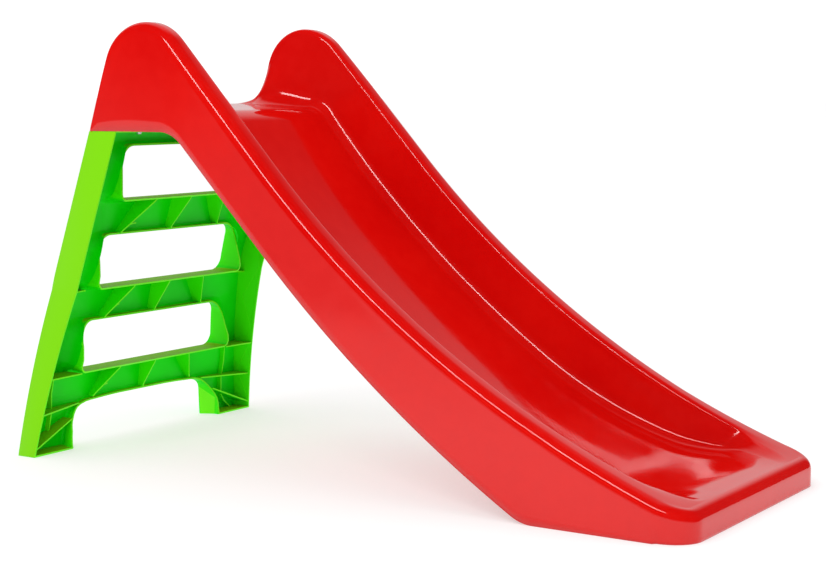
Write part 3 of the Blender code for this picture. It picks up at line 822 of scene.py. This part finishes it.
def grow(piece, tree, values):
    # runs a node tree on a piece and keeps the result as a plain mesh
    step = piece.modifiers.new(tree.name, "NODES")
    step.node_group = tree
    for item in tree.interface.items_tree:
        if item.in_out == "INPUT" and item.name in values:
            step[item.identifier] = values[item.name]
    return freeze(piece)


def makeRibs():
    mesh = bpy.data.meshes.new("ladderRibs")
    points, edges = [], []
    for line in ribPaths():
        fine = []
        for start, end in zip(line, line[1:]):
            count = max(1, int(math.dist(start[:2], end[:2]) / 0.006))
            fine += [tuple(a + (b - a) * i / count for a, b in zip(start, end)) for i in range(count)]
        fine.append(line[-1])
        edges += [(len(points) + i, len(points) + i + 1) for i in range(len(fine) - 1)]
        points += fine
    behind = ladder["skin"] * 0.6
    mesh.from_pydata([(rearX(z) + behind, y, z) for y, z, _ in points], edges, [])
    reach = mesh.attributes.new("reach", "FLOAT", "POINT")
    reach.data.foreach_set("value", [front - rearX(z) - behind for _, z, front in points])
    piece = bpy.data.objects.new("ladderRibs", mesh)
    bpy.context.scene.collection.objects.link(piece)
    grow(piece, ribTree(), {"Thickness": ribs["thickness"], "Finish": greenFinish})
    bm = bmesh.new()
    bm.from_mesh(piece.data)
    bmesh.ops.remove_doubles(bm, verts=bm.verts, dist=0.00001)
    bmesh.ops.recalc_face_normals(bm, faces=bm.faces)
    bm.to_mesh(piece.data)
    bm.free()
    for face in piece.data.polygons:
        face.use_smooth = True
    piece.data.set_sharp_from_angle(angle=math.radians(35))
    markHighlightEdges(piece)
    return piece


def makeCoves():
    # the soft inside corners where the rims of the openings rise from the rear plate
    bm = bmesh.new()
    skin, steps = ladder["skin"], 9
    outlines = [(*(openingOutline(opening, end, skin - 0.0003) for end in (0, 1)), True)
                for opening in ladder["openings"]]
    outlines.append((*(archOutline(end, skin - 0.0003) for end in (0, 1)), False))
    for rear, front, closed in outlines:
        count = len(rear)
        rings = []
        for i, (y, z) in enumerate(rear):
            before = rear[i - 1] if closed else rear[max(0, i - 1)]
            after = rear[(i + 1) % count] if closed else rear[min(count - 1, i + 1)]
            dy, dz = after[0] - before[0], after[1] - before[1]
            size = math.hypot(dy, dz) or 1.0
            outY, outZ = dz / size, -dy / size
            low, high = ribs["coveR"]
            radius = low + (high - low) * outY * outY if closed else low
            depth = flangeX(max(z, 0.0)) - 0.012 - rearX(max(z, 0.0))
            profile = [(-0.0005, 0.0)]
            for k in range(steps + 1):
                a = k / steps * math.pi / 2
                profile.append((radius * (1 - math.sin(a)), radius * (1 - math.cos(a))))
            ring = []
            for out, rise in profile:
                share = min(1.0, (rise + 0.0009) / depth)
                py = y + share * (front[i][0] - y) + out * outY
                pz = max(0.0, z + share * (front[i][1] - z) + out * outZ)
                ring.append(bm.verts.new((rearX(pz) + skin - 0.0004 + rise, py, pz)))
            rings.append(ring)
        pairs = list(zip(rings, rings[1:])) + ([(rings[-1], rings[0])] if closed else [])
        for a, b in pairs:
            for k in range(len(a)):
                m = (k + 1) % len(a)
                bm.faces.new((a[k], b[k], b[m], a[m]))
        if not closed:
            bm.faces.new(rings[0])
            bm.faces.new(list(reversed(rings[-1])))
    bmesh.ops.remove_doubles(bm, verts=bm.verts, dist=0.00001)
    piece = newPiece("ladderCoves", bm, greenFinish, 50)
    mark = piece.data.attributes.new("cove", "FLOAT", "FACE")
    mark.data.foreach_set("value", [1.0] * len(piece.data.polygons))
    return piece


# screws and their bosses

screws = {
    "x": -0.4460,
    "y": (-0.150, -0.055, 0.055, 0.150),
    "shankR": 0.0020,
    "threadR": 0.0004,
    "length": 0.029,
    "headR": 0.0052,
    "headHeight": 0.0032,
    "under": 0.5434,        # underside of the head's seat
}
bosses = {"radius": 0.0065, "bore": 0.0028, "low": 0.5473, "top": 0.5880}


def scatterTree(name, sizes, build):
    # copies a shape, made by build, onto every point of the piece
    tree = bpy.data.node_groups.new(name, "GeometryNodeTree")
    tree.interface.new_socket("Geometry", in_out="INPUT", socket_type="NodeSocketGeometry")
    for size in sizes:
        tree.interface.new_socket(size, in_out="INPUT", socket_type="NodeSocketFloat")
    tree.interface.new_socket("Finish", in_out="INPUT", socket_type="NodeSocketMaterial")
    tree.interface.new_socket("Geometry", in_out="OUTPUT", socket_type="NodeSocketGeometry")
    bench = Bench(tree)
    given = tree.nodes.new("NodeGroupInput")
    wires = {size: Wire(bench, given.outputs[i + 1]) for i, size in enumerate(sizes)}
    shape = build(bench, wires)
    copies = bench.add("GeometryNodeInstanceOnPoints", None,
                       {"Points": Wire(bench, given.outputs[0]), "Instance": shape})
    real = bench.add("GeometryNodeRealizeInstances", None, {"Geometry": copies})
    done = bench.add("GeometryNodeSetMaterial", None,
                     {"Geometry": real, "Material": Wire(bench, given.outputs[len(sizes) + 1])})
    output = tree.nodes.new("NodeGroupOutput")
    tree.links.new(done.socket, output.inputs[0])
    return tree


def lift(bench, shape, z):
    offset = bench.add("ShaderNodeCombineXYZ", None, {"Z": z})
    return bench.add("GeometryNodeTransform", None, {"Geometry": shape, "Translation": offset})


def joinShapes(bench, shapes):
    node = bench.tree.nodes.new("GeometryNodeJoinGeometry")
    for shape in reversed(shapes):
        bench.tree.links.new(shape.socket, node.inputs[0])
    return Wire(bench, node.outputs[0])


def buildScrew(bench, size):
    length, headR, headHeight = size["Length"], size["Head radius"], size["Head height"]
    shank = bench.add("GeometryNodeMeshCylinder", None,
                      {"Vertices": 20, "Radius": size["Shank radius"], "Depth": length * 0.86})
    tip = bench.add("GeometryNodeMeshCone", None,
                    {"Vertices": 20, "Radius Top": 0.0002, "Radius Bottom": size["Shank radius"],
                     "Depth": length * 0.14})
    turns = bench.add("GeometryNodeCurveSpiral", None,
                      {"Resolution": 20, "Rotations": 13.0, "Start Radius": size["Shank radius"],
                       "End Radius": size["Shank radius"], "Height": length * 0.80})
    wire = bench.add("GeometryNodeCurvePrimitiveCircle", None,
                     {"Resolution": 5, "Radius": size["Thread radius"]})
    thread = bench.add("GeometryNodeCurveToMesh", None,
                       {"Curve": turns, "Profile Curve": wire, "Fill Caps": True})
    pan = bench.add("GeometryNodeMeshCone", None,
                    {"Vertices": 32, "Radius Top": headR, "Radius Bottom": headR * 0.72,
                     "Depth": headHeight})
    slots = []
    for turn in (0.0, math.pi / 2):
        bar = bench.add("ShaderNodeCombineXYZ", None,
                        {"X": headR * 1.05, "Y": headR * 0.2, "Z": headHeight * 0.9})
        cube = bench.add("GeometryNodeMeshCube", None, {"Size": bar})
        slots.append(bench.add("GeometryNodeTransform", None,
                               {"Geometry": cube, "Rotation": (0.0, 0.0, turn)}))
    cutHead = bench.tree.nodes.new("GeometryNodeMeshBoolean")
    cutHead.operation = "DIFFERENCE"
    bench.tree.links.new(lift(bench, pan, headHeight * -1.0).socket, cutHead.inputs["Mesh 1"])
    for slotShape in slots:
        bench.tree.links.new(lift(bench, slotShape, headHeight * -1.05).socket, cutHead.inputs["Mesh 2"])
    head = Wire(bench, cutHead.outputs[0])
    return joinShapes(bench, [head, lift(bench, shank, length * 0.43), lift(bench, tip, length * 0.86),
                              lift(bench, thread, length * 0.08)])


def buildBoss(bench, size):
    post, bore = (bench.add("GeometryNodeMeshCylinder", None,
                            {"Vertices": count, "Radius": radius, "Depth": size["Height"]})
                  for count, radius in ((40, size["Radius"]), (32, size["Bore"])))
    cut = bench.tree.nodes.new("GeometryNodeMeshBoolean")
    cut.operation = "DIFFERENCE"
    bench.tree.links.new(lift(bench, post, size["Height"] * 0.5).socket, cut.inputs["Mesh 1"])
    bench.tree.links.new(lift(bench, bore, size["Height"] * 0.27).socket, cut.inputs["Mesh 2"])
    return Wire(bench, cut.outputs[0])


def pointPiece(name, points):
    mesh = bpy.data.meshes.new(name)
    mesh.from_pydata(points, [], [])
    piece = bpy.data.objects.new(name, mesh)
    bpy.context.scene.collection.objects.link(piece)
    return piece


def makeScrews():
    sizes = ("Length", "Shank radius", "Thread radius", "Head radius", "Head height")
    tree = scatterTree("screwSet", sizes, buildScrew)
    piece = pointPiece("fixingScrews", [(screws["x"], y, screws["under"]) for y in screws["y"]])
    grow(piece, tree, {"Length": screws["length"], "Shank radius": screws["shankR"],
                       "Thread radius": screws["threadR"], "Head radius": screws["headR"],
                       "Head height": screws["headHeight"], "Finish": zincFinish})
    return piece


def makeBosses():
    tree = scatterTree("bossSet", ("Radius", "Bore", "Height"), buildBoss)
    piece = pointPiece("screwBosses", [(screws["x"], y, bosses["low"]) for y in screws["y"]])
    grow(piece, tree, {"Radius": bosses["radius"], "Bore": bosses["bore"],
                       "Height": bosses["top"] - bosses["low"], "Finish": redFinish})
    return piece


ladderShell = makeLadder()
print("ladder made,", len(ladderShell.data.polygons), "faces")
ladderRibs = makeRibs()
ladderCoves = makeCoves()
print("ribs made,", len(ladderRibs.data.polygons), "faces")
fixingScrews = makeScrews()
screwBosses = makeBosses()
print("screws and bosses made")


# pieces onto their bodies

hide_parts("slide_body")
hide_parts("ladder")
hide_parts("fixing_screw_1", "fixing_screw_2", "fixing_screw_3", "fixing_screw_4")
for piece, body, slot in ((chuteShell, "chute", "slide_red"), (screwBosses, "chute", "slide_red"),
                          (ladderShell, "ladder", "ladder_green"), (ladderRibs, "ladder", "ladder_green"),
                          (ladderCoves, "ladder", "ladder_green"),
                          (fixingScrews, "ladder", "screw_zinc")):
    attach(piece, body)


# studio

studio = {
    "floorColour": (0.56, 0.56, 0.56),
    "floorGlow": 0.50,       # lifts the pale floor to the white of the backdrop
    "fill": 0.92,            # even light on everything
    "mirrored": 0.75,        # brightest part of the room seen in reflections
    "keyPlace": (0.15, -3.05, 3.25),
    "keyWidth": 2.9,
    "keyHeight": 0.40,
    "keyPower": 46,
}


def makeFloor():
    bm = bmesh.new()
    bmesh.ops.create_grid(bm, x_segments=1, y_segments=1, size=120)
    made, _, shader = newMaterial("paleFloor", 1.0, 0.0, 0.0)
    shader.inputs["Base Color"].default_value = (*studio["floorColour"], 1)
    shader.inputs["Emission Color"].default_value = (1, 1, 1, 1)
    shader.inputs["Emission Strength"].default_value = studio["floorGlow"]
    floor = newPiece("studioFloor", bm, made)
    floor.data.transform(Matrix.Translation((0, 0, -0.0005)))
    return floor


def makeLights():
    world = bpy.data.worlds.new("studioSky")
    world.use_nodes = True
    bench = Bench(world.node_tree)
    sight = bench.add("ShaderNodeTexCoord", out="Generated")
    x, y, z = (bench.add("ShaderNodeSeparateXYZ", None, {0: sight}, axis) for axis in "XYZ")
    behind = bench.map(y, 0.30, -0.30, 0.0, 1.0) * bench.map(z, 0.17, 0.04, 0.04, 0.62)
    beyond = bench.map(y, -0.10, 0.30, 0.0, 1.0) * bench.map(x, 0.16, -0.26, 0.06, 1.0)
    seen = bench.add("ShaderNodeLightPath", out="Is Camera Ray")
    glossy = bench.add("ShaderNodeLightPath", out="Is Glossy Ray")
    room = (behind + beyond) * studio["mirrored"]
    strength = room * glossy + (1.0 - glossy) * studio["fill"] + seen * 0.3
    world.node_tree.nodes["Background"].inputs["Color"].default_value = (1, 1, 1, 1)
    world.node_tree.links.new(strength.socket, world.node_tree.nodes["Background"].inputs["Strength"])
    bpy.context.scene.world = world
    data = bpy.data.lights.new("keyLight", "AREA")
    data.shape = "RECTANGLE"
    data.size = studio["keyWidth"]
    data.size_y = studio["keyHeight"]
    data.energy = studio["keyPower"]
    lamp = bpy.data.objects.new("keyLight", data)
    bpy.context.scene.collection.objects.link(lamp)
    lamp.location = studio["keyPlace"]
    lamp.rotation_euler = (Vector((0.05, 0, 0.3)) - lamp.location).to_track_quat("-Z", "Y").to_euler()


view = {
    "place": (1.58106, -2.41539, 0.61128),
    "turn": 33.155,        # degrees from looking along +Y
    "tilt": 6.312,         # degrees down
    "roll": -0.07,
    "lens": 78.04,
}


def makeCamera():
    data = bpy.data.cameras.new("camera")
    data.sensor_width = 36
    data.lens = view["lens"]
    camera = bpy.data.objects.new("camera", data)
    bpy.context.scene.collection.objects.link(camera)
    camera.location = view["place"]
    turn = Matrix.Rotation(math.radians(view["turn"]), 4, "Z")
    turn = turn @ Matrix.Rotation(math.radians(90 - view["tilt"]), 4, "X")
    camera.rotation_euler = (turn @ Matrix.Rotation(math.radians(view["roll"]), 4, "Z")).to_euler()
    bpy.context.scene.camera = camera


makeFloor()
makeLights()
makeCamera()
bpy.context.scene.view_settings.view_transform = "Standard"
print("studio made")
